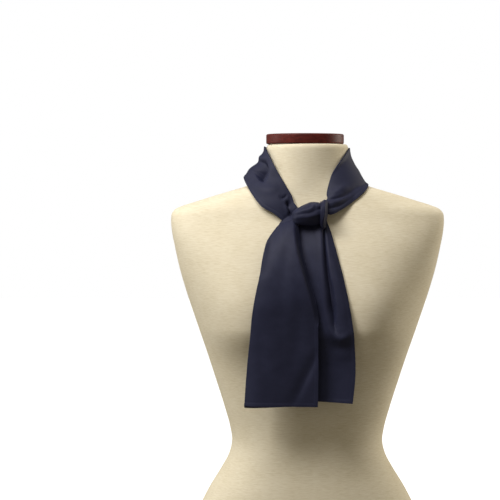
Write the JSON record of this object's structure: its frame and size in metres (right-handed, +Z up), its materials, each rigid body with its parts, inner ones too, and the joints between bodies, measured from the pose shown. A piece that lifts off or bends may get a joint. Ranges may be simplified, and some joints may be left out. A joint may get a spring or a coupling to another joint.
{
  "type": "silk scarf on a dress form",
  "caption": "Oblong silk scarf folded lengthwise and knotted once at the neck of a limbless dress form with a wooden neck cap, both tails hanging over the chest.",
  "frame": {"origin": "middle of the dress form's flat underside", "axes": "+Z up, -Y towards the chest, where the tails hang, +X to the right of someone who looks at the front"},
  "size_m": [0.3824, 0.2494, 0.7638],
  "materials": {
    "jersey": "cream slubbed knit jersey stretched over a padded form",
    "wood": "turned wood with a dark mahogany-red satin lacquer",
    "silk": "navy silk twill with a soft satin sheen"
  },
  "bodies": {
    "root": {"dress_form": "jersey", "neck_cap": "wood", "scarf_neck_band": "silk", "scarf_knot_turn": "silk", "scarf_knot_fold": "silk", "scarf_front_tail": "silk", "scarf_rear_tail": "silk"}
  },
  "joints": []
}
